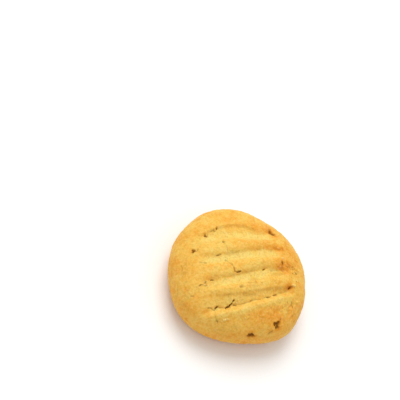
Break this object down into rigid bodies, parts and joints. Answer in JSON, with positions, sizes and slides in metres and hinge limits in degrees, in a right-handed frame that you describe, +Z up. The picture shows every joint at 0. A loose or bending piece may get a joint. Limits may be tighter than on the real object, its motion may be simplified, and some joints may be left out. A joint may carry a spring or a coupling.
{
  "type": "anise biscuit",
  "caption": "Round domed anise biscuit with a flat base, parallel fork marks pressed across its top, and small seeds baked into the crust.",
  "frame": {"origin": "middle of the flat base, on the surface that the biscuit rests on", "axes": "+Z up through the domed top, +X along the fork marks towards the tips of the tines, +Y across the marks"},
  "size_m": [0.048, 0.0484, 0.0193],
  "materials": {
    "baked_crust": null
  },
  "bodies": {
    "root": {"biscuit": "baked_crust"}
  },
  "joints": []
}
